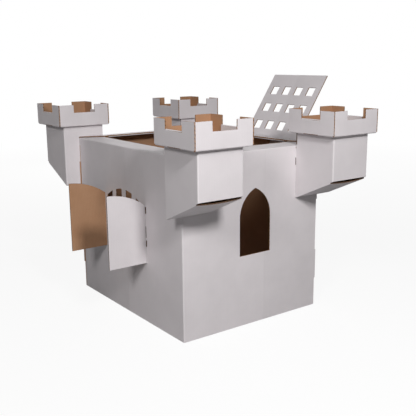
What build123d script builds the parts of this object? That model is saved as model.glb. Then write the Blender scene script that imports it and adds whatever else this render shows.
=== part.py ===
from build123d import *

import os
from math import atan2, cos, degrees, radians, sin

os.makedirs("parts", exist_ok=True)

# Corrugated board, white lined outside and brown inside, in millimetres
board = 5.0
fold_radius = 6.0
seat_gap = 0.3

# Castle walls: wall A is at -X, wall B at -Y, wall C at +X and wall D at +Y
castle_width = 800.0
castle_depth = 980.0
wall_height = 829.0
lock_flap_width = 65.0
lock_flap_drop = 45.0
tooth_reach = 5.0
tooth_spans = [(142.0, 290.0), (551.0, 700.0)]

# Inturned rim along the top of each wall, doubled under itself
rim_width = 100.0
rim_rise = 6.0
rim_lap = 5.0
rim_mitre_gap = 1.5
hem_radius = 5.2
hem_turn = 10.6
hem_width = 78.0
hem_trim = 26.0

# Pointed window in wall B
window_centre = 7.0
window_width = 182.0
window_sill = 341.0
window_spring = 520.0
window_apex = 654.0

# Barred gate in wall A, and the two door leaves that stand open in front of it
door_centre = 16.0
leaf_width = 195.0
leaf_bottom = 297.0
leaf_top = 640.0
leaf_hinge_height = 277.0
leaf_tab_spans = [(376.0, 407.0), (420.0, 474.0), (535.0, 568.0)]
leaf_slot_margins = [8.0, 3.5, 7.5]
leaf_tab_fold = 40.0
gate_border = 20.0
bar_width = 39.0
gate_gap_width = 57.0
gate_gap_count = 4

# Leaning lattice panel that is slotted into the rim of wall C
lattice_width = 400.0
lattice_height = 375.0
lattice_centre = -142.0
lattice_lean = 34.0
lattice_stand = 2.6
lattice_seat_drop = 0.5
lattice_hole = 50.0
lattice_columns = 4
lattice_rows = 3
lattice_pitch_across = 91.0
lattice_pitch_up = 106.0
lattice_first_row = 64.0
tongue_width = 96.0
tongue_length = 45.0
tongue_centre = -212.0
tongue_gap = 0.4

# Relief cut across the rim of wall C, beside the lattice's foot
relief_cut = [(362.0, -330.0), (400.0, -299.0)]
relief_cut_width = 2.0

# Corner turrets, which stand outside walls B and D and overhang walls A and C
turret_overhang = 84.0
turret_inset = 142.0
turret_reach = 240.0
turret_top = 891.0
turret_tip = 575.0
turret_lip = 682.0
flap_sag = 6.0
flap_recess = 13.0
turret_tab = (736.0, 771.0)
turret_tab_reach = 22.0
turret_slot_margin = 3.5
relief_hole = 9.0
relief_hole_height = 819.0
top_tab_width = 60.0
top_tab_height = 18.0

# Crenellated crowns, which are shallow folded trays
crown_overhang_side = 31.0
crown_overhang_out = 25.8
crown_overhang_in = 21.6
crown_height = 112.0
notch_width = 120.0
notch_depth = 40.0
crown_slot_length = 92.0
crown_slot_width = 3.0
crown_slot_rise = 4.0

# Worked out from the sizes above
half_width = castle_width / 2
half_depth = castle_depth / 2
back_wall_height = wall_height + board + 0.5
butt_depth = half_depth - board - seat_gap
turret_width = turret_overhang + turret_inset
turret_inboard = half_width - turret_inset
turret_outboard = half_width + turret_overhang
turret_back = -half_depth - seat_gap
turret_front = turret_back - turret_reach
turret_middle_y = (turret_back + turret_front) / 2


def strip_outline(points, radii, side):
    """Section of a folded board whose outer face follows the points."""
    with BuildSketch(Plane.XY) as strip:
        with BuildLine():
            FilletPolyline(*points, radius=radii)
            offset(amount=board, side=side)
        make_face()
    return strip.sketch


def rim_section(height, hemmed):
    """Section of a wall's top: the outer fold, the rim and, where hemmed, the layer under it."""
    base = (0, height - 40)
    inner = (rim_width, height + rim_rise)
    if not hemmed:
        return strip_outline([base, (0, height), inner], [fold_radius], Side.RIGHT)
    back_x = rim_width - hem_width
    under = inner[1] - hem_turn
    back = (back_x, under - hem_width * rim_rise / rim_width)
    points = [base, (0, height), inner, (rim_width, under), back]
    return strip_outline(points, [fold_radius, hem_radius, hem_radius], Side.RIGHT)


def rim_solid(section, plane, plan):
    """A rim run along one wall and cut to its plan, which holds the mitres."""
    with BuildPart() as rim:
        with BuildSketch(plane):
            add(section)
        extrude(amount=castle_depth, both=True)
        with BuildSketch(Plane.XY.offset(wall_height - 60)):
            with BuildLine():
                Polyline(*plan, close=True)
            make_face()
        extrude(amount=120, mode=Mode.INTERSECT)
    return rim.part


def wall_sheet(height, lap):
    """One folded sheet: a lock flap, a long wall at -X, a short wall at -Y and their rims."""
    plan = [
        (-half_width + lock_flap_width, butt_depth),
        (-half_width, butt_depth),
        (-half_width, -half_depth),
        (half_width, -half_depth),
    ]
    outline = strip_outline(plan, [fold_radius, fold_radius], Side.LEFT)
    inner_x = -half_width + rim_width
    inner_y = -half_depth + rim_width
    gap = rim_mitre_gap
    long_rim = [
        (-half_width, -half_depth + gap),
        (-half_width, butt_depth),
        (inner_x, butt_depth + lap - rim_width),
        (inner_x, inner_y + gap),
    ]
    short_rim = [
        (-half_width + gap, -half_depth),
        (half_width, -half_depth),
        (-inner_x + lap, inner_y),
        (inner_x + gap, inner_y),
    ]
    long_hem = [
        (-half_width + fold_radius, -half_depth + hem_trim),
        (-half_width + fold_radius, butt_depth - hem_trim),
        (inner_x, butt_depth - rim_width - hem_trim),
        (inner_x, inner_y + hem_trim),
    ]
    short_hem = [
        (-half_width + hem_trim, -half_depth + fold_radius),
        (half_width - hem_trim, -half_depth + fold_radius),
        (-inner_x - hem_trim, inner_y),
        (inner_x + hem_trim, inner_y),
    ]
    long_plane = Plane.XZ.shift_origin((-half_width, 0, 0))
    short_plane = Plane.YZ.shift_origin((0, -half_depth, 0))
    long_run = rim_solid(rim_section(height, False), long_plane, long_rim)
    short_run = rim_solid(rim_section(height, False), short_plane, short_rim)
    long_under = rim_solid(rim_section(height, True), long_plane, long_hem)
    short_under = rim_solid(rim_section(height, True), short_plane, short_hem)
    body_height = height - fold_radius
    with BuildPart() as sheet:
        with BuildSketch(Plane.XY):
            add(outline)
        extrude(amount=body_height)
        # The lock flap stops below the rim
        with BuildSketch(Plane.XY.offset(height - lock_flap_drop)):
            with Locations((-half_width + board, butt_depth - board)):
                Rectangle(lock_flap_width, board + 1, align=(Align.MIN, Align.MIN))
        extrude(amount=lock_flap_drop, mode=Mode.SUBTRACT)
        add([long_run, short_run, long_under, short_under])
        # Teeth on the free end of the short wall
        for low, high in tooth_spans:
            with BuildSketch(Plane.XY.offset(low)):
                with Locations((half_width - 1, -half_depth)):
                    Rectangle(tooth_reach + 1, board, align=(Align.MIN, Align.MIN))
            extrude(amount=high - low)
        # Slots and relief holes where the turrets lock into the short wall
        with BuildSketch(Plane.XZ.offset(half_depth + 1)):
            tab_low, tab_high = turret_tab
            slot_wide = board + seat_gap + turret_slot_margin
            slot_x = turret_inboard - turret_slot_margin + slot_wide / 2
            slot_z = (tab_low + tab_high) / 2
            with Locations((slot_x, slot_z), (-slot_x, slot_z)):
                Rectangle(slot_wide, tab_high - tab_low + 2 * seat_gap)
            hole_x = turret_inboard - turret_slot_margin + relief_hole / 2
            hole_z = relief_hole_height
            with Locations((hole_x, hole_z), (-hole_x, hole_z)):
                Circle(relief_hole / 2)
        extrude(amount=-board - 2, mode=Mode.SUBTRACT)
    return sheet.part


front_blank = wall_sheet(wall_height, 0)
back_blank = wall_sheet(back_wall_height, rim_lap)

# Front wall sheet: the gate wall and the window wall in one piece
leaf_radius_rise = leaf_top - (leaf_bottom + leaf_hinge_height)
leaf_arch_radius = (leaf_width**2 + leaf_radius_rise**2) / (2 * leaf_radius_rise)
arch_centre_height = leaf_top - leaf_arch_radius
gate_radius = leaf_arch_radius - gate_border
gate_bottom = leaf_bottom + gate_border
gate_pitch = gate_gap_width + bar_width
window_rise = window_apex - window_spring
window_half = window_width / 2
window_radius = (window_rise**2 + window_half**2) / window_width
window_turn = degrees(atan2(window_rise, window_radius - window_half))

with BuildPart() as front_wall_sheet:
    add(front_blank)
    # Pointed window: straight sides that run into two arcs
    with BuildSketch(Plane.XZ.offset(half_depth + 1)):
        with BuildLine():
            left_x = window_centre - window_half
            right_x = window_centre + window_half
            left = Line((left_x, window_sill), (left_x, window_spring))
            JernArc(left @ 1, (0, 1), window_radius, -window_turn)
            right = Line((right_x, window_sill), (right_x, window_spring))
            JernArc(right @ 1, (0, 1), window_radius, window_turn)
            Line(left @ 0, right @ 0)
        make_face()
    extrude(amount=-board - 2, mode=Mode.SUBTRACT)
    # Gate: four gaps between bars, under one arch
    with BuildSketch(Plane.YZ.offset(-half_width - 1)):
        with Locations((door_centre, gate_bottom)):
            with GridLocations(gate_pitch, 0, gate_gap_count, 1):
                Rectangle(gate_gap_width, leaf_top, align=(Align.CENTER, Align.MIN))
        with Locations((door_centre, arch_centre_height)):
            Circle(gate_radius, mode=Mode.INTERSECT)
    extrude(amount=board + 2, mode=Mode.SUBTRACT)
    # Hinge slots beside both door leaves, wider than the tabs away from the gate
    with BuildSketch(Plane.YZ.offset(-half_width - 1)):
        for (low, high), margin in zip(leaf_tab_spans, leaf_slot_margins):
            slot_wide = board + 2 * seat_gap + margin
            slot_y = leaf_width - seat_gap + slot_wide / 2
            slot_z = (low + high) / 2
            with Locations(
                (door_centre + slot_y, slot_z), (door_centre - slot_y, slot_z)
            ):
                Rectangle(slot_wide, high - low + 2 * seat_gap)
    extrude(amount=board + 2, mode=Mode.SUBTRACT)

# Lattice panel: a leaning grille with a tongue on its lower edge
lean_up = (sin(radians(lattice_lean)), 0, cos(radians(lattice_lean)))
lean_out = (cos(radians(lattice_lean)), 0, -sin(radians(lattice_lean)))
lattice_seat = (
    half_width - lattice_stand,
    0,
    back_wall_height - lattice_seat_drop,
)
lattice_plane = Plane(origin=lattice_seat, x_dir=(0, 1, 0), z_dir=lean_out)
with BuildPart() as lattice_panel:
    with BuildSketch(lattice_plane):
        with Locations((lattice_centre, 0)):
            Rectangle(lattice_width, lattice_height, align=(Align.CENTER, Align.MIN))
        rows_height = (lattice_rows - 1) * lattice_pitch_up
        grid_centre = lattice_first_row + rows_height / 2
        with Locations((lattice_centre, grid_centre)):
            with GridLocations(
                lattice_pitch_across, lattice_pitch_up, lattice_columns, lattice_rows
            ):
                Rectangle(lattice_hole, lattice_hole, mode=Mode.SUBTRACT)
        with Locations((tongue_centre, 1)):
            Rectangle(tongue_width, tongue_length + 1, align=(Align.CENTER, Align.MAX))
    extrude(amount=board)
lattice_panel.part.label = "lattice_panel"

# Back wall sheet: the same blank turned round, with a slot for the tongue
slot_plane = lattice_plane.offset(-tongue_gap)
with BuildPart() as back_wall_sheet:
    add(back_blank, rotation=(0, 0, 180))
    with BuildSketch(slot_plane):
        with Locations((tongue_centre, 0)):
            Rectangle(tongue_width + 2 * tongue_gap, 2 * tongue_length)
    extrude(amount=board + 2 * tongue_gap, mode=Mode.SUBTRACT)
    # Relief cut through the upper layer of the rim
    (cut_x, cut_y), (cut_end_x, cut_end_y) = relief_cut
    with BuildSketch(Plane.XY.offset(back_wall_height - board)):
        with BuildLine():
            Polyline(
                (cut_x, cut_y),
                (cut_end_x, cut_end_y),
                (cut_end_x, cut_end_y + relief_cut_width),
                (cut_x, cut_y + relief_cut_width),
                close=True,
            )
        make_face()
    extrude(amount=2 * board, mode=Mode.SUBTRACT)

front_wall_sheet.part.label = "front_wall_sheet"
back_wall_sheet.part.label = "back_wall_sheet"
export_step(front_wall_sheet.part, "parts/front_wall_sheet.step")
export_step(back_wall_sheet.part, "parts/back_wall_sheet.step")
export_step(lattice_panel.part, "parts/lattice_panel.step")

# Door leaves: half an arch each, square to the wall, with three tabs folded behind it
tab_path = [
    (-half_width - 8, door_centre - leaf_width),
    (-half_width + 2 * board + seat_gap, door_centre - leaf_width),
    (-half_width + 2 * board + seat_gap, door_centre - leaf_width - leaf_tab_fold),
]
tab_outline = strip_outline(tab_path, [fold_radius], Side.RIGHT)
leaf_plane = Plane.XZ.offset(leaf_width - door_centre)
leaf_free_edge = -half_width - leaf_width
with BuildPart() as door_leaf_right:
    with BuildSketch(leaf_plane):
        with Locations((leaf_free_edge, arch_centre_height)):
            Circle(leaf_arch_radius)
        with Locations((leaf_free_edge, leaf_bottom)):
            Rectangle(
                leaf_width - seat_gap,
                leaf_top,
                align=(Align.MIN, Align.MIN),
                mode=Mode.INTERSECT,
            )
    extrude(amount=board)
    for low, high in leaf_tab_spans:
        with BuildSketch(Plane.XY.offset(low)):
            add(tab_outline)
        extrude(amount=high - low)
with BuildPart() as door_leaf_left:
    add(door_leaf_right.part)
    mirror(about=Plane.XZ.offset(-door_centre), mode=Mode.REPLACE)
door_leaf_right.part.label = "door_leaf_right"
door_leaf_left.part.label = "door_leaf_left"
export_step(door_leaf_right.part, "parts/door_leaf_right.step")
export_step(door_leaf_left.part, "parts/door_leaf_left.step")

# Turret body, drawn at the corner of walls B and C: four folded sides and a sagging flap
with BuildSketch(Plane.XY) as body_outline:
    with Locations((turret_inboard, turret_back)):
        Rectangle(turret_width, turret_reach, align=(Align.MIN, Align.MAX))
    corner_list = body_outline.vertices().sort_by(Axis.Y)
    fillet([*corner_list[0:2], corner_list[2:4].sort_by(Axis.X)[-1]], fold_radius)
    with Locations((turret_inboard + board, turret_back - board)):
        Rectangle(
            turret_width - 2 * board,
            turret_reach - 2 * board,
            align=(Align.MIN, Align.MAX),
            mode=Mode.SUBTRACT,
        )
slope_rise = turret_lip - turret_tip
slope_angle = degrees(atan2(slope_rise, turret_reach))
flap_plane = Plane(
    origin=(turret_inboard, turret_back, turret_tip),
    x_dir=(1, 0, 0),
    z_dir=(0, -cos(radians(slope_angle)), sin(radians(slope_angle))),
)
flap_run = (turret_reach - flap_recess) / cos(radians(slope_angle))


def flap_section(sag, shift):
    """Cross-section of the underside flap, which hangs below its side folds by the sag."""
    with BuildSketch(flap_plane.offset(shift)) as section:
        with BuildLine():
            lower = ThreePointArc((0, 0), (turret_width / 2, -sag), (turret_width, 0))
            upper = ThreePointArc(
                (0, board), (turret_width / 2, board - sag), (turret_width, board)
            )
            Line(lower @ 0, upper @ 0)
            Line(lower @ 1, upper @ 1)
        make_face()
    return section.sketch


with BuildPart() as turret:
    with BuildSketch(Plane.XY.offset(turret_tip)):
        add(body_outline.sketch)
    extrude(amount=turret_top - turret_tip)
    # The last side covers the back panel's end up to the rim, and butts against it above
    with BuildSketch(Plane.XY.offset(turret_tip)):
        with Locations((turret_inboard + board, turret_back)):
            Rectangle(seat_gap, board, align=(Align.MIN, Align.MAX))
    extrude(amount=back_wall_height - turret_tip, mode=Mode.SUBTRACT)
    with BuildSketch(Plane.XY.offset(back_wall_height)):
        with Locations((turret_inboard, turret_back)):
            Rectangle(board + seat_gap, board, align=(Align.MIN, Align.MAX))
    extrude(amount=seat_gap, mode=Mode.SUBTRACT)
    with BuildSketch(Plane.XY.offset(back_wall_height)):
        with Locations((turret_inboard, turret_back - board)):
            Rectangle(board, seat_gap, align=(Align.MIN, Align.MAX))
    extrude(amount=turret_top - back_wall_height, mode=Mode.SUBTRACT)
    # Cut the sides back to the slope, and a little more where the flap isn't folded on
    slope = slope_rise / turret_reach
    for start, clear in [(turret_inboard - 1, 0), (turret_inboard + board, seat_gap)]:
        with BuildSketch(Plane.YZ.offset(start)):
            with BuildLine():
                top_back = turret_tip + board + clear - slope
                top_front = top_back + slope * (turret_reach + 2)
                Polyline(
                    (turret_back + 1, turret_tip - 1),
                    (turret_back + 1, top_back),
                    (turret_front - 1, top_front),
                    (turret_front - 1, turret_tip - 1),
                    close=True,
                )
            make_face()
        extrude(amount=turret_width + 2, mode=Mode.SUBTRACT)
    # Tab that locks through the wall
    low, high = turret_tab
    with BuildSketch(Plane.YZ.offset(turret_inboard)):
        with BuildLine():
            inside = turret_back + board + turret_tab_reach
            rear = turret_back - 1
            Polyline(
                (rear, low),
                (inside - board, low),
                (inside, low + board),
                (inside, high - board),
                (inside - board, high),
                (rear, high),
                close=True,
            )
        make_face()
    extrude(amount=board)
    # Tabs that stand up through the floor of the crown
    with BuildSketch(Plane.XY.offset(turret_top - 1)):
        with Locations((turret_inboard, turret_middle_y)):
            Rectangle(board, top_tab_width, align=(Align.MIN, Align.CENTER))
        with Locations((turret_outboard, turret_middle_y)):
            Rectangle(board, top_tab_width, align=(Align.MAX, Align.CENTER))
    extrude(amount=top_tab_height + 1)
flap_wall_end = flap_section(0.5, board)
flap_free_end = flap_section(flap_sag, flap_run)
with BuildPart() as turret_with_flap:
    add(turret.part)
    add(loft([flap_wall_end, flap_free_end], ruled=True, mode=Mode.PRIVATE))

# Crown, drawn over the same turret
crown_left = turret_inboard - crown_overhang_side
crown_right = turret_outboard + crown_overhang_side
crown_inner = turret_back + crown_overhang_in
crown_outer = turret_front - crown_overhang_out
crown_base = turret_top + seat_gap
crown_top = crown_base + crown_height
crown_long = crown_inner - crown_outer
crown_wide = crown_right - crown_left
crown_middle_x = (crown_left + crown_right) / 2
crown_middle_y = (crown_inner + crown_outer) / 2
notch_floor = crown_top - notch_depth
cap_radius = board + seat_gap / 2
tray_x = strip_outline(
    [
        (crown_left, crown_top),
        (crown_left, crown_base),
        (crown_right, crown_base),
        (crown_right, crown_top),
    ],
    [fold_radius, fold_radius],
    Side.LEFT,
)
tray_y = strip_outline(
    [
        (crown_outer, crown_top),
        (crown_outer, crown_base),
        (crown_inner, crown_base),
        (crown_inner, crown_top),
    ],
    [fold_radius, fold_radius],
    Side.LEFT,
)
hairpin_low = notch_floor - cap_radius - 1
hairpins = []
for face_x, inward, side in [
    (crown_left, 1, Side.RIGHT),
    (crown_right, -1, Side.LEFT),
]:
    inner_x = face_x + inward * 2 * cap_radius
    hairpins.append(
        strip_outline(
            [
                (face_x, hairpin_low),
                (face_x, notch_floor),
                (inner_x, notch_floor),
                (inner_x, notch_floor - notch_depth),
            ],
            [cap_radius - 0.05, cap_radius - 0.05],
            side,
        )
    )
left_hairpin, right_hairpin = hairpins
with BuildPart() as crown:
    # Floor with the two sides across the wall
    with BuildSketch(Plane.YZ.offset(crown_middle_x)):
        add(tray_y)
    extrude(amount=crown_wide / 2 - board - seat_gap, both=True)
    with BuildSketch(Plane.XZ.offset(-crown_middle_y)):
        with Locations((crown_middle_x, crown_top)):
            Rectangle(notch_width, 2 * notch_depth)
    extrude(amount=crown_long, both=True, mode=Mode.SUBTRACT)
    # Sides along the wall, which cover the ends of the other two
    with BuildSketch(Plane.XZ.offset(-crown_middle_y)):
        add(tray_x)
    extrude(amount=crown_long / 2 - fold_radius, both=True)
    with BuildSketch(Plane.XY.offset(crown_base + fold_radius)):
        with Locations((crown_left, crown_middle_y)):
            Rectangle(board, crown_long, align=(Align.MIN, Align.CENTER))
        with Locations((crown_right, crown_middle_y)):
            Rectangle(board, crown_long, align=(Align.MAX, Align.CENTER))
    extrude(amount=crown_height - fold_radius)
    # Notches in these sides
    with BuildSketch(Plane.YZ.offset(crown_left - 1)):
        with Locations((crown_middle_y, crown_top)):
            Rectangle(notch_width, 2 * (notch_depth + cap_radius))
    extrude(amount=crown_wide + 2, mode=Mode.SUBTRACT)
    # Each cut-out flap stays on, folded over and down inside its side
    with BuildSketch(Plane.XZ.offset(-crown_middle_y)):
        add([left_hairpin, right_hairpin])
    extrude(amount=notch_width / 2 - seat_gap, both=True)
    # Slots through the floor for the turret's tabs, and along the two side folds
    with BuildSketch(Plane.XY.offset(crown_base - 1)):
        slot_reach = board + 2 * seat_gap
        with Locations(
            (turret_inboard + board / 2, turret_middle_y),
            (turret_outboard - board / 2, turret_middle_y),
        ):
            Rectangle(slot_reach, top_tab_width + 2 * seat_gap)
    extrude(amount=board + 2, mode=Mode.SUBTRACT)
    with BuildSketch(Plane.XY.offset(crown_base - 1)):
        with Locations(
            (crown_left, crown_middle_y),
            (crown_right, crown_middle_y),
        ):
            Rectangle(2 * crown_slot_width, crown_slot_length)
    extrude(amount=crown_slot_rise + 1, mode=Mode.SUBTRACT)

# One turret and one crown for each corner of the castle
corners = {
    "front": (True, False),
    "right": (False, False),
    "back": (False, True),
    "left": (True, True),
}
for corner, (flip_x, flip_y) in corners.items():
    for kind, drawn in (("body", turret_with_flap), ("crown", crown)):
        with BuildPart() as placed:
            add(drawn.part)
            if flip_x:
                mirror(about=Plane.YZ, mode=Mode.REPLACE)
            if flip_y:
                mirror(about=Plane.XZ, mode=Mode.REPLACE)
        name = f"turret_{kind}_{corner}"
        placed.part.label = name
        export_step(placed.part, f"parts/{name}.step")
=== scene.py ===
"""Looks of a folded corrugated play castle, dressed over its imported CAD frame."""

import logging
import math
from dataclasses import dataclass, field
from enum import Enum

import bpy
from mathutils import Matrix, Vector
from mathutils.bvhtree import BVHTree


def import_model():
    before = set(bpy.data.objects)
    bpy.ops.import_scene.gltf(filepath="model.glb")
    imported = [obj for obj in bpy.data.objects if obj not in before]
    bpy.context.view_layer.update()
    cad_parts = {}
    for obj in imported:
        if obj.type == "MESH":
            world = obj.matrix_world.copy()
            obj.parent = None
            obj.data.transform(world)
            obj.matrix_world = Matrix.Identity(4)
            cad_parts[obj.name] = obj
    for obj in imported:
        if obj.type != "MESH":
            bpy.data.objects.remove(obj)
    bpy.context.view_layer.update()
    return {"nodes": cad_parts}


LOG = logging.getLogger("castle")
MM = 0.001
BOARD = 5.0 * MM
CASTLE_HALF_WIDTH = 400.0 * MM
CASTLE_HALF_DEPTH = 490.0 * MM
FRONT_WALL_HEIGHT = 829.0 * MM
BACK_WALL_HEIGHT = 834.5 * MM
RIM_SLOPE = 0.06
# How far a face's normal lies along an axis: square on, mostly, or leaning to it
SQUARE_ON = 0.9
MOSTLY = 0.7
LEANING = 0.3
# Flutes lie 5 to 8 mm apart, and are drawn at the wide end so that they still show
FLUTE_PITCH = 8.0 * MM
# Paper fibres are finer than 1 mm, and are drawn coarser so that they still show
FIBRE_SIZE = 3.0 * MM
# One sine of a wave texture is this many units long at a scale of 1
WAVE_UNIT = math.tau / 20
PAPER_IOR = 1.5
CREASE_SLOPE = 0.035


class Side(Enum):
    """What a face of a folded board is: lined outside, inside or a cut through it."""

    OUTSIDE = 0
    INSIDE = 1
    CUT = 2


class Run(Enum):
    """The axis that the flutes of a board are counted along."""

    X = 0
    Y = 1


def linear(hex_colour: str) -> tuple[float, float, float, float]:
    """Turns an sRGB hex value into a linear colour.

    Args:
        hex_colour: Six hex digits with a leading hash.

    Returns:
        Red, green, blue and alpha for a shader socket.
    """
    parts = [int(hex_colour[i : i + 2], 16) / 255 for i in (1, 3, 5)]
    curve = [p / 12.92 if p <= 0.04045 else ((p + 0.055) / 1.055) ** 2.4 for p in parts]
    return (curve[0], curve[1], curve[2], 1.0)


def add_node(
    tree: bpy.types.NodeTree,
    kind: str,
    settings: dict[str, object] | None = None,
    values: dict[str | int, object] | None = None,
    links: dict[str | int, bpy.types.NodeSocket] | None = None,
) -> bpy.types.Node:
    """Adds one shader node.

    Args:
        tree: The node tree that it goes into.
        kind: The node's type name.
        settings: Properties of the node.
        values: Constant values of its inputs.
        links: Output sockets that feed its inputs.

    Returns:
        The new node.
    """
    node = tree.nodes.new(kind)
    for name, setting in (settings or {}).items():
        setattr(node, name, setting)
    for key, value in (values or {}).items():
        node.inputs[key].default_value = value
    for key, socket in (links or {}).items():
        tree.links.new(socket, node.inputs[key])
    return node


def blank_material(name: str) -> bpy.types.Material:
    """Makes a node material with nothing in its tree.

    Args:
        name: The material's name.

    Returns:
        The new material.
    """
    made = bpy.data.materials.new(name)
    made.use_nodes = True
    made.node_tree.nodes.clear()
    return made


@dataclass(frozen=True)
class BoardFinish:
    """Paper liner over corrugated fluting, in one colour of paper.

    The liner is matt, a little cloudy, and sinks slightly between the flutes. The
    sheet is never quite flat: it bows a little, and may fall away beside a crease, along
    which its colour is darkened as painted shade of the groove.
    """

    name: str
    colour: str
    cloud: str
    fleck: str
    roughness: float
    flute_share: float
    fleck_share: float
    flute_run: Run = Run.X
    crease_at: float | None = None
    cloud_size: float = 110.0 * MM
    cloud_from: float = 0.35
    cloud_to: float = 0.7
    wave_size: float = 260.0 * MM
    wave_height: float = 4.0 * MM
    fibre_size: float = FIBRE_SIZE
    fibre_relief: float = 0.35
    fleck_from: float = 0.58
    fleck_to: float = 0.75
    flute_pitch: float = FLUTE_PITCH
    relief_height: float = 0.12 * MM
    relief_strength: float = 0.25
    crease_width: float = 5.0 * MM
    crease_painted_shade: float = 0.08
    crease_relief: float = -6.0
    crease_slope: float = CREASE_SLOPE

    def material(self) -> bpy.types.Material:
        """Builds the finish as a node material.

        Returns:
            The material.
        """
        made = blank_material(self.name)
        tree = made.node_tree
        place = add_node(tree, "ShaderNodeTexCoord").outputs["Object"]
        clouds = add_node(
            tree,
            "ShaderNodeTexNoise",
            values={"Scale": 1 / self.cloud_size, "Detail": 3.0, "Roughness": 0.55},
            links={"Vector": place},
        )
        fibres = add_node(
            tree,
            "ShaderNodeTexNoise",
            values={"Scale": 1 / self.fibre_size, "Detail": 2.0, "Roughness": 0.7},
            links={"Vector": place},
        )
        flutes = add_node(
            tree,
            "ShaderNodeTexWave",
            settings={"wave_type": "BANDS", "bands_direction": self.flute_run.name},
            values={"Scale": WAVE_UNIT / self.flute_pitch, "Distortion": 0.0},
            links={"Vector": place},
        )
        cloud_share = add_node(
            tree,
            "ShaderNodeMapRange",
            values={"From Min": self.cloud_from, "From Max": self.cloud_to},
            links={"Value": clouds.outputs["Fac"]},
        )
        tone = add_node(
            tree,
            "ShaderNodeMix",
            settings={"data_type": "RGBA"},
            values={6: linear(self.colour), 7: linear(self.cloud)},
            links={0: cloud_share.outputs[0]},
        )
        fleck_mask = add_node(
            tree,
            "ShaderNodeMapRange",
            values={
                "From Min": self.fleck_from,
                "From Max": self.fleck_to,
                "To Max": self.fleck_share,
            },
            links={"Value": fibres.outputs["Fac"]},
        )
        flecked = add_node(
            tree,
            "ShaderNodeMix",
            settings={"data_type": "RGBA"},
            values={7: linear(self.fleck)},
            links={0: fleck_mask.outputs[0], 6: tone.outputs[2]},
        )
        flute_mask = add_node(
            tree,
            "ShaderNodeMapRange",
            values={"To Max": self.flute_share},
            links={"Value": flutes.outputs["Fac"]},
        )
        ribbed = add_node(
            tree,
            "ShaderNodeMix",
            settings={"data_type": "RGBA"},
            values={7: linear(self.fleck)},
            links={0: flute_mask.outputs[0], 6: flecked.outputs[2]},
        )
        colour = ribbed.outputs[2]
        relief = add_node(
            tree,
            "ShaderNodeMath",
            settings={"operation": "MULTIPLY_ADD"},
            values={1: self.fibre_relief},
            links={0: fibres.outputs["Fac"], 2: flutes.outputs["Fac"]},
        ).outputs[0]
        waves = add_node(
            tree,
            "ShaderNodeTexNoise",
            values={"Scale": 1 / self.wave_size, "Detail": 1.0, "Roughness": 0.4},
            links={"Vector": place},
        )
        sheet_height = waves.outputs["Fac"]
        if self.crease_at is not None:
            away = self._crease_distance(tree, place)
            crease = add_node(
                tree,
                "ShaderNodeMapRange",
                settings={"interpolation_type": "SMOOTHSTEP"},
                values={
                    "From Max": self.crease_width,
                    "To Min": self.crease_painted_shade,
                    "To Max": 0.0,
                },
                links={"Value": away},
            )
            # The sheet keeps a slight bend along its crease
            sheet_height = add_node(
                tree,
                "ShaderNodeMath",
                settings={"operation": "MULTIPLY_ADD"},
                values={1: -self.crease_slope / self.wave_height},
                links={0: away, 2: sheet_height},
            ).outputs[0]
            # The colour along the crease's groove is darkened as painted shade
            colour = add_node(
                tree,
                "ShaderNodeMix",
                settings={"data_type": "RGBA"},
                values={7: linear(self.fleck)},
                links={0: crease.outputs[0], 6: colour},
            ).outputs[2]
            relief = add_node(
                tree,
                "ShaderNodeMath",
                settings={"operation": "MULTIPLY_ADD"},
                values={1: self.crease_relief},
                links={0: crease.outputs[0], 2: relief},
            ).outputs[0]
        bow = add_node(
            tree,
            "ShaderNodeBump",
            values={"Strength": 1.0, "Distance": self.wave_height},
            links={"Height": sheet_height},
        )
        bump = add_node(
            tree,
            "ShaderNodeBump",
            values={"Strength": self.relief_strength, "Distance": self.relief_height},
            links={"Height": relief, "Normal": bow.outputs[0]},
        )
        shader = add_node(
            tree,
            "ShaderNodeBsdfPrincipled",
            values={"Roughness": self.roughness, "IOR": PAPER_IOR},
            links={"Base Color": colour, "Normal": bump.outputs[0]},
        )
        add_node(
            tree,
            "ShaderNodeOutputMaterial",
            links={"Surface": shader.outputs[0]},
        )
        return made

    def _crease_distance(
        self, tree: bpy.types.NodeTree, place: bpy.types.NodeSocket
    ) -> bpy.types.NodeSocket:
        """Adds the distance from the packing crease.

        Args:
            tree: The node tree that it goes into.
            place: The object coordinates.

        Returns:
            The distance in metres.
        """
        axes = add_node(tree, "ShaderNodeSeparateXYZ", links={0: place})
        off = add_node(
            tree,
            "ShaderNodeMath",
            settings={"operation": "SUBTRACT"},
            values={1: self.crease_at},
            links={0: axes.outputs[self.flute_run.value]},
        )
        return add_node(
            tree,
            "ShaderNodeMath",
            settings={"operation": "ABSOLUTE"},
            links={0: off.outputs[0]},
        ).outputs[0]


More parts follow.
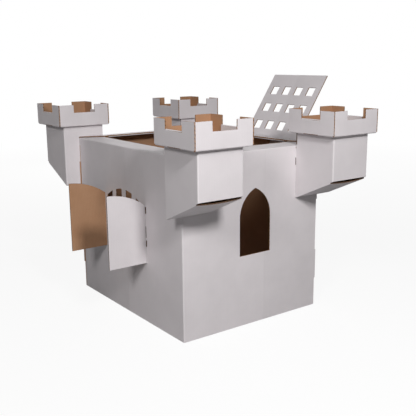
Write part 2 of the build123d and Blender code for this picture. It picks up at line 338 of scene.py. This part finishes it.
@dataclass(frozen=True)
class CutFinish:
    """A knife cut through the board, which bares brown fluting whose hollows are darkened
    as painted shade.
    """

    name: str = "cut_corrugated_edge"
    paper: str = "#9C7350"
    # Colour of the flute hollows, darkened as painted shade
    hollow: str = "#4A3222"
    roughness: float = 0.9
    flute_pitch: float = FLUTE_PITCH
    flute_wander: float = 0.6
    hollow_from: float = 0.5
    hollow_to: float = 0.8
    hollow_share: float = 0.85
    hollow_depth: float = 0.6 * MM
    hollow_strength: float = 0.6

    def material(self) -> bpy.types.Material:
        """Builds the finish as a node material.

        Returns:
            The material.
        """
        made = blank_material(self.name)
        tree = made.node_tree
        place = add_node(tree, "ShaderNodeTexCoord").outputs["Object"]
        flutes = add_node(
            tree,
            "ShaderNodeTexWave",
            settings={"wave_type": "BANDS", "bands_direction": "DIAGONAL"},
            values={
                "Scale": WAVE_UNIT / self.flute_pitch,
                "Distortion": self.flute_wander,
                "Detail": 1.0,
                "Detail Scale": 2.0,
            },
            links={"Vector": place},
        )
        hollows = add_node(
            tree,
            "ShaderNodeMapRange",
            values={
                "From Min": self.hollow_from,
                "From Max": self.hollow_to,
                "To Max": self.hollow_share,
            },
            links={"Value": flutes.outputs["Fac"]},
        )
        # The hollows between the flutes take a darker colour as painted shade
        colour = add_node(
            tree,
            "ShaderNodeMix",
            settings={"data_type": "RGBA"},
            values={6: linear(self.paper), 7: linear(self.hollow)},
            links={0: hollows.outputs[0]},
        )
        bump = add_node(
            tree,
            "ShaderNodeBump",
            settings={"invert": True},
            values={"Strength": self.hollow_strength, "Distance": self.hollow_depth},
            links={"Height": hollows.outputs[0]},
        )
        shader = add_node(
            tree,
            "ShaderNodeBsdfPrincipled",
            values={"Roughness": self.roughness, "IOR": PAPER_IOR},
            links={"Base Color": colour.outputs[2], "Normal": bump.outputs[0]},
        )
        add_node(
            tree,
            "ShaderNodeOutputMaterial",
            links={"Surface": shader.outputs[0]},
        )
        return made


WHITE = {"colour": "#DED8DA", "cloud": "#D9D3D5", "fleck": "#BBB4B5"}
KRAFT = {"colour": "#B38A6A", "cloud": "#AA8060", "fleck": "#85603F"}


def white_liner(
    name: str,
    run: Run = Run.X,
    crease_at: float | None = None,
    crease_slope: float = CREASE_SLOPE,
) -> BoardFinish:
    """Clay-coated white liner of the board's outside, smooth and dully even.

    Args:
        name: The material's name.
        run: The axis that its flutes are counted along.
        crease_at: Where on that axis a packing crease lies.
        crease_slope: How far the sheet falls away beside it, per length.

    Returns:
        The finish.
    """
    return BoardFinish(
        name,
        **WHITE,
        roughness=0.62,
        flute_share=0.06,
        fleck_share=0.12,
        flute_run=run,
        crease_at=crease_at,
        crease_slope=crease_slope,
    )


def kraft_liner(name: str, run: Run = Run.X) -> BoardFinish:
    """Unbleached kraft liner of the board's inside, brown, rougher and more flecked.

    Args:
        name: The material's name.
        run: The axis that its flutes are counted along.

    Returns:
        The finish.
    """
    return BoardFinish(
        name,
        **KRAFT,
        roughness=0.78,
        flute_share=0.14,
        fleck_share=0.3,
        flute_run=run,
    )


@dataclass
class FoldedBoard:
    """One CAD node cut and folded from a single board, with its three kinds of face."""

    node: str
    outside: BoardFinish
    inside: BoardFinish
    cut: CutFinish = field(default_factory=CutFinish)
    thickness_slack: float = 0.7 * MM
    ray_lift: float = 0.05 * MM

    def is_outside(self, centre: Vector, normal: Vector) -> bool:
        """Tells whether a liner face with that centre and normal is the outside."""
        raise NotImplementedError

    def side_of(self, tree: BVHTree, centre: Vector, normal: Vector) -> Side:
        """Sorts a face by the thickness of board behind it.

        Args:
            tree: The node's own faces.
            centre: The face's centre.
            normal: The face's normal.

        Returns:
            Which side of the board the face is.
        """
        start = centre - normal * self.ray_lift
        hit, _, _, distance = tree.ray_cast(start, -normal, 3 * BOARD)
        if hit is None or abs(distance + self.ray_lift - BOARD) > self.thickness_slack:
            return Side.CUT
        return Side.OUTSIDE if self.is_outside(centre, normal) else Side.INSIDE

    def finishes(self) -> list[BoardFinish | CutFinish]:
        """Finishes in the order of the node's material slots."""
        return [self.outside, self.inside, self.cut]

    def slot_of(self, side: Side, centre: Vector, normal: Vector) -> int:
        """Material slot of a face on that side of the board."""
        return side.value

    def dress(self, nodes: dict[str, bpy.types.Object]) -> None:
        """Gives the node's faces their finishes.

        Args:
            nodes: The frame's CAD nodes by name.
        """
        shown = nodes[self.node]
        mesh = shown.data
        mesh.materials.clear()
        for finish in self.finishes():
            known = bpy.data.materials.get(finish.name)
            mesh.materials.append(known or finish.material())
        corners = [v.co.copy() for v in mesh.vertices]
        faces = [tuple(p.vertices) for p in mesh.polygons]
        tree = BVHTree.FromPolygons(corners, faces)
        counts = {side: 0 for side in Side}
        for polygon in mesh.polygons:
            centre, normal = polygon.center.copy(), polygon.normal.copy()
            side = self.side_of(tree, centre, normal)
            polygon.material_index = self.slot_of(side, centre, normal)
            counts[side] += 1
        LOG.info("%s: %s", self.node, {s.name: n for s, n in counts.items()})


@dataclass
class WallSheet(FoldedBoard):
    """A long and a short wall with their rims, folded from one board."""

    height: float = FRONT_WALL_HEIGHT
    second_outside: BoardFinish | None = None
    rim_band: float = 7.5 * MM
    hem_band: float = 25.0 * MM
    fold_clear: float = 6.5 * MM
    nose_from: float = 97.0 * MM
    end_slack: float = 0.5 * MM

    def is_outside(self, centre: Vector, normal: Vector) -> bool:
        """The lined side faces out of the castle, up on the rim and down on its hem.

        Args:
            centre: The face's centre.
            normal: The face's normal.

        Returns:
            Whether a liner face is lined white.
        """
        depth_in = min(
            CASTLE_HALF_WIDTH - abs(centre.x), CASTLE_HALF_DEPTH - abs(centre.y)
        )
        below_rim = self.height + RIM_SLOPE * depth_in - centre.z
        if below_rim < self.hem_band and depth_in > self.fold_clear:
            if depth_in > self.nose_from and abs(normal.z) < MOSTLY:
                return True
            return normal.z > 0 if below_rim < self.rim_band else normal.z < 0
        return normal.x * centre.x + normal.y * centre.y > 0

    def side_of(self, tree: BVHTree, centre: Vector, normal: Vector) -> Side:
        """The short wall's free end and teeth are pressed shut under their lining.

        Args:
            tree: The node's own faces.
            centre: The face's centre.
            normal: The face's normal.

        Returns:
            Which side of the board the face is.
        """
        side = super().side_of(tree, centre, normal)
        at_end = abs(centre.x) > CASTLE_HALF_WIDTH - self.end_slack
        in_short_wall = abs(centre.y) > CASTLE_HALF_DEPTH - BOARD
        faces_end = abs(normal.x) > SQUARE_ON
        if side is Side.CUT and at_end and in_short_wall and faces_end:
            return Side.OUTSIDE
        return side

    def finishes(self) -> list[BoardFinish | CutFinish]:
        """Adds the short wall's own liner, which has its crease elsewhere."""
        return [*super().finishes(), self.second_outside or self.outside]

    def slot_of(self, side: Side, centre: Vector, normal: Vector) -> int:
        """The short wall's outside faces use the second liner.

        Args:
            side: The side of the board that the face is on.
            centre: The face's centre.
            normal: The face's normal.

        Returns:
            The material slot.
        """
        if side is Side.OUTSIDE and abs(normal.y) > abs(normal.x):
            return len(Side)
        return side.value


@dataclass
class DoorLeaf(FoldedBoard):
    """Half of the arched gate's door, standing open square to the wall."""

    outward: float = -1.0

    def is_outside(self, centre: Vector, normal: Vector) -> bool:
        """The lined side faces away from the gate."""
        return normal.y * self.outward > 0

    def side_of(self, tree: BVHTree, centre: Vector, normal: Vector) -> Side:
        """The tabs take the cut finish where they enter the wall, which paints the shade
        in the hinge slots.

        Args:
            tree: The node's own faces.
            centre: The face's centre.
            normal: The face's normal.

        Returns:
            Which side of the board the face is.
        """
        if centre.x > -CASTLE_HALF_WIDTH:
            return Side.CUT
        return super().side_of(tree, centre, normal)


@dataclass
class LatticePanel(FoldedBoard):
    """The leaning grille, with its lined side towards the castle."""

    def is_outside(self, centre: Vector, normal: Vector) -> bool:
        """The lined side faces the gate wall."""
        return normal.x < 0


@dataclass
class TurretBody(FoldedBoard):
    """One overhanging corner turret: four sides and the sagging flap below."""

    corner: tuple[float, float] = (1.0, -1.0)
    middle: tuple[float, float, float] = (371.0 * MM, 610.3 * MM, 780.0 * MM)
    half_wide: float = 113.0 * MM
    lip: float = 690.0 * MM
    wall_slack: float = 0.2 * MM
    fold_band: float = 1.2 * BOARD

    def is_outside(self, centre: Vector, normal: Vector) -> bool:
        """The lined side faces away from the turret's middle.

        Args:
            centre: The face's centre.
            normal: The face's normal.

        Returns:
            Whether a liner face is lined white.
        """
        axis = Vector(
            (
                self.corner[0] * self.middle[0],
                self.corner[1] * self.middle[1],
                self.middle[2],
            )
        )
        return (centre - axis).dot(normal) > 0

    def side_of(self, tree: BVHTree, centre: Vector, normal: Vector) -> Side:
        """The flap's side folds show their lining, and the wall tab takes the cut finish,
        which paints the shade in the wall's slot.

        Args:
            tree: The node's own faces.
            centre: The face's centre.
            normal: The face's normal.

        Returns:
            Which side of the board the face is.
        """
        if abs(centre.y) < CASTLE_HALF_DEPTH + self.wall_slack:
            return Side.CUT
        side = super().side_of(tree, centre, normal)
        off_middle = abs(abs(centre.x) - self.middle[0])
        beside = off_middle > self.half_wide - self.fold_band
        out_or_down = normal.z < -LEANING or abs(normal.x) > SQUARE_ON
        if side is Side.CUT and beside and centre.z < self.lip and out_or_down:
            return Side.OUTSIDE
        return side


@dataclass
class TurretCrown(FoldedBoard):
    """One crenellated tray on a turret, with a flap folded in at two notches."""

    corner: tuple[float, float] = (1.0, -1.0)
    middle: tuple[float, float] = (371.0 * MM, 612.4 * MM)
    half_wide: float = 144.0 * MM
    half_long: float = 143.7 * MM
    floor: float = 896.3 * MM
    floor_band: float = 3.0 * MM
    flap_half: float = 62.0 * MM
    flap_rise: float = 10.0 * MM
    flap_reach: float = 2.2 * BOARD

    def is_outside(self, centre: Vector, normal: Vector) -> bool:
        """The lined side faces out of the tray, except on the flaps folded into it.

        Args:
            centre: The face's centre.
            normal: The face's normal.

        Returns:
            Whether a liner face is lined white.
        """
        x = centre.x - self.corner[0] * self.middle[0]
        y = centre.y - self.corner[1] * self.middle[1]
        if abs(normal.z) > MOSTLY and centre.z < self.floor + self.floor_band:
            return normal.z < 0
        if normal.z > MOSTLY:
            return True
        folded_in = BOARD < self.half_wide - abs(x) < self.flap_reach
        in_notch = centre.z > self.floor + self.flap_rise and abs(y) < self.flap_half
        if folded_in and in_notch:
            return x * normal.x < 0
        return x * normal.x + y * normal.y > 0


@dataclass(frozen=True)
class Softbox:
    """A square studio lamp."""

    name: str
    place: tuple[float, float, float]
    target: tuple[float, float, float]
    side: float
    power: float

    def build(self) -> None:
        """Makes the lamp and turns it to its target."""
        lamp = bpy.data.lights.new(self.name, "AREA")
        lamp.shape = "SQUARE"
        lamp.size = self.side
        lamp.energy = self.power
        stand = bpy.data.objects.new(self.name, lamp)
        stand.location = self.place
        aim = Vector(self.target) - Vector(self.place)
        stand.rotation_mode = "QUATERNION"
        stand.rotation_quaternion = aim.to_track_quat("-Z", "Y")
        bpy.context.scene.collection.objects.link(stand)


@dataclass
class Studio:
    """The pale floor, the plain light and the camera."""

    floor_side: float = 60.0
    floor_colour: str = "#A0A0A0"
    glow_near: float = 1.5
    glow_far: float = 7.0
    glow_share: float = 0.9
    seen_colour: str = "#FFFFFF"
    world_level: float = 0.04
    seen_level: float = 1.0
    camera_place: tuple[float, float, float] = (-1.91045, -2.76066, 1.22614)
    azimuth: float = 35.97
    elevation: float = -12.64
    roll: float = -0.504
    focal_pixels: float = 658.32
    frame_pixels: float = 416.0
    sensor_width: float = 36.0
    clip_end: float = 200.0
    lamps: list[Softbox] = field(
        default_factory=lambda: [
            Softbox("key_softbox", (-0.9, -3.0, 2.33), (0, -0.2, 0.6), 0.45, 66.0),
            Softbox("side_softbox", (-4.6, -3.34, 3.78), (0, -0.2, 0.6), 1.2, 124.0),
            Softbox("back_fill", (2.6, 4.2, 1.3), (0.0, 0.0, 0.6), 2.6, 60.0),
        ]
    )

    def build(self) -> None:
        """Makes the floor, world, lamps and camera."""
        self._floor()
        self._world()
        for lamp in self.lamps:
            lamp.build()
        self._camera()
        bpy.context.scene.view_settings.view_transform = "Standard"

    def _floor(self) -> None:
        """Lays the floor, which keeps the castle's shadow under a camera-only glow."""
        bpy.ops.mesh.primitive_plane_add(size=self.floor_side)
        floor = bpy.context.object
        floor.name = "studio_floor"
        made = blank_material("matt_studio_paper")
        tree = made.node_tree
        rays = add_node(tree, "ShaderNodeLightPath")
        place = add_node(tree, "ShaderNodeTexCoord").outputs["Object"]
        away = add_node(
            tree,
            "ShaderNodeVectorMath",
            settings={"operation": "LENGTH"},
            links={0: place},
        )
        glow_share = add_node(
            tree,
            "ShaderNodeMapRange",
            values={
                "From Min": self.glow_near,
                "From Max": self.glow_far,
                "To Min": self.glow_share,
            },
            links={"Value": away.outputs["Value"]},
        )
        share = add_node(
            tree,
            "ShaderNodeMath",
            settings={"operation": "MULTIPLY"},
            links={0: rays.outputs["Is Camera Ray"], 1: glow_share.outputs[0]},
        )
        tone = add_node(
            tree,
            "ShaderNodeMix",
            settings={"data_type": "RGBA"},
            values={6: linear(self.floor_colour), 7: linear(self.seen_colour)},
            links={0: rays.outputs["Is Camera Ray"]},
        )
        paper = add_node(
            tree,
            "ShaderNodeBsdfPrincipled",
            values={"Roughness": 0.9},
            links={"Base Color": tone.outputs[2]},
        )
        glow = add_node(tree, "ShaderNodeEmission", values={"Strength": 1.0})
        both = add_node(
            tree,
            "ShaderNodeMixShader",
            links={0: share.outputs[0], 1: paper.outputs[0], 2: glow.outputs[0]},
        )
        add_node(tree, "ShaderNodeOutputMaterial", links={"Surface": both.outputs[0]})
        floor.data.materials.append(made)

    def _world(self) -> None:
        """Lights the scene evenly, with white where the camera looks past the floor."""
        world = bpy.data.worlds.new("studio_air")
        bpy.context.scene.world = world
        world.use_nodes = True
        tree = world.node_tree
        tree.nodes.clear()
        rays = add_node(tree, "ShaderNodeLightPath")
        seen = add_node(
            tree,
            "ShaderNodeMath",
            settings={"operation": "MAXIMUM"},
            links={
                0: rays.outputs["Is Camera Ray"],
                1: rays.outputs["Is Glossy Ray"],
            },
        )
        level = add_node(
            tree,
            "ShaderNodeMapRange",
            values={"To Min": self.world_level, "To Max": self.seen_level},
            links={"Value": seen.outputs[0]},
        )
        air = add_node(
            tree,
            "ShaderNodeBackground",
            values={"Color": (1.0, 1.0, 1.0, 1.0)},
            links={"Strength": level.outputs[0]},
        )
        add_node(tree, "ShaderNodeOutputWorld", links={"Surface": air.outputs[0]})

    def _camera(self) -> None:
        """Sets the camera up at the photograph's viewpoint."""
        turn, tilt, roll = (
            math.radians(a) for a in (self.azimuth, self.elevation, self.roll)
        )
        ahead = Vector(
            (
                math.sin(turn) * math.cos(tilt),
                math.cos(turn) * math.cos(tilt),
                math.sin(tilt),
            )
        )
        right = Vector((math.cos(turn), -math.sin(turn), 0.0))
        up = right.cross(ahead)
        across = right * math.cos(roll) + up * math.sin(roll)
        upward = up * math.cos(roll) - right * math.sin(roll)
        camera = bpy.data.cameras.new("photo_camera")
        camera.sensor_width = self.sensor_width
        camera.lens = self.sensor_width * self.focal_pixels / self.frame_pixels
        camera.clip_end = self.clip_end
        stand = bpy.data.objects.new("photo_camera", camera)
        turned = Matrix((across, upward, -ahead)).transposed().to_4x4()
        stand.matrix_world = Matrix.Translation(self.camera_place) @ turned
        bpy.context.scene.collection.objects.link(stand)
        bpy.context.scene.camera = stand


@dataclass
class Castle:
    """Every board of the castle, in the order in which it is put together."""

    gate_crease: float = 0.0
    window_crease: float = 66.0 * MM
    lattice_crease: float = -142.0 * MM
    corners: dict[str, tuple[float, float]] = field(
        default_factory=lambda: {
            "front": (-1.0, -1.0),
            "right": (1.0, -1.0),
            "back": (1.0, 1.0),
            "left": (-1.0, 1.0),
        }
    )

    def boards(self) -> list[FoldedBoard]:
        """Lists the castle's boards with their finishes.

        Returns:
            The boards, ready to be dressed.
        """
        plain = white_liner("white_liner_flutes_x")
        along_y = white_liner("white_liner_flutes_y", Run.Y)
        kraft = kraft_liner("kraft_liner_flutes_x")
        kraft_y = kraft_liner("kraft_liner_flutes_y", Run.Y)
        # Cut edges whose paper and hollows are darkened as painted shade, for the door
        # leaves and turret bodies, whose tabs sit in the wall slots and whose flap ends
        # lie behind the turrets' fronts
        painted_shade_cut = CutFinish("painted_shade_cut_edge", "#6E5039", "#2E2018")
        boards: list[FoldedBoard] = [
            WallSheet(
                "front_wall_sheet",
                white_liner("white_liner_gate_wall", Run.Y, self.gate_crease),
                kraft,
                second_outside=white_liner(
                    "white_liner_window_wall", Run.X, self.window_crease
                ),
            ),
            WallSheet(
                "back_wall_sheet",
                along_y,
                kraft,
                height=BACK_WALL_HEIGHT,
                second_outside=plain,
            ),
            DoorLeaf("door_leaf_right", plain, kraft, painted_shade_cut, outward=-1.0),
            DoorLeaf("door_leaf_left", plain, kraft, painted_shade_cut, outward=1.0),
            # The lattice is hollow along its crease, where the walls stand slightly proud
            LatticePanel(
                "lattice_panel",
                white_liner(
                    "white_liner_lattice", Run.Y, self.lattice_crease, -CREASE_SLOPE
                ),
                kraft_y,
            ),
        ]
        for corner, signs in self.corners.items():
            body, crown = f"turret_body_{corner}", f"turret_crown_{corner}"
            boards.append(TurretBody(body, plain, kraft, painted_shade_cut, corner=signs))
            boards.append(TurretCrown(crown, plain, kraft, corner=signs))
        return boards


def main() -> None:
    """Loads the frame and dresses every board."""
    logging.basicConfig(level=logging.INFO, format="%(name)s %(message)s")
    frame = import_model()
    Studio().build()
    for board in Castle().boards():
        board.dress(frame["nodes"])


if __name__ == "__main__":
    main()
